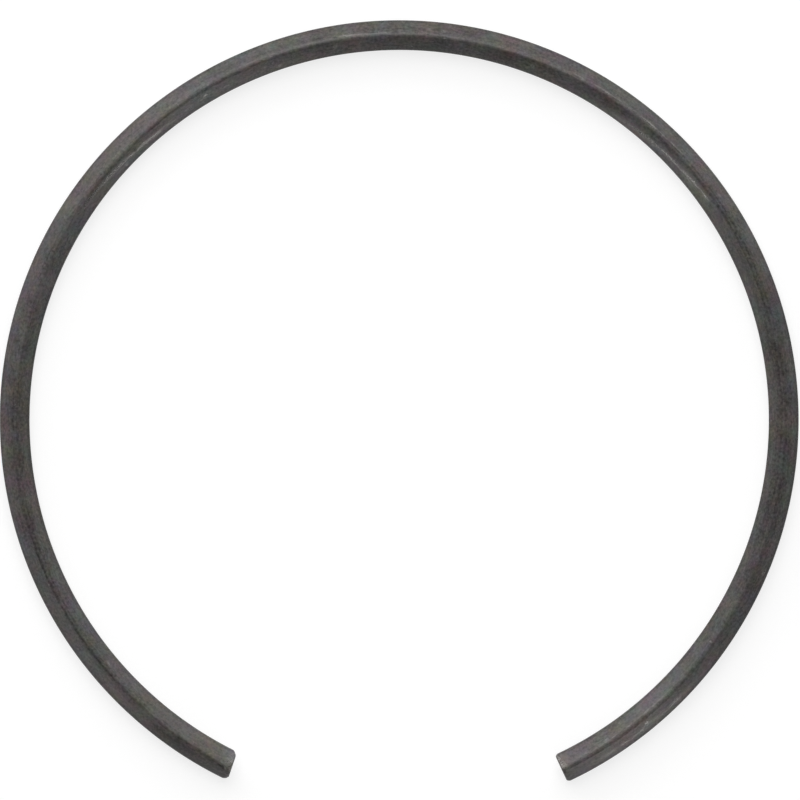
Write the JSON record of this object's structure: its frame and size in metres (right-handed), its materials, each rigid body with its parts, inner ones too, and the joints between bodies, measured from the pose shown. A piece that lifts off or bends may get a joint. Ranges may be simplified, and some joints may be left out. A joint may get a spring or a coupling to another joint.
{
  "type": "circlip retaining ring",
  "caption": "Open spring-wire retaining ring that snaps into a groove in a bore, with a ridged four-sided wire section and a wide mouth between sheared ends.",
  "frame": {"origin": "centre of the ring, on its axis and in its middle plane", "axes": "+Z along the ring's axis, +X across the mouth towards the squarely cut end, -Y out through the middle of the mouth"},
  "size_m": [0.08, 0.0761, 0.003],
  "materials": {
    "spring_steel": "dark phosphated and oiled spring steel, satin, mottled, rubbed bright in places along the ridge"
  },
  "bodies": {
    "root": {"retaining_ring": "spring_steel"}
  },
  "joints": []
}
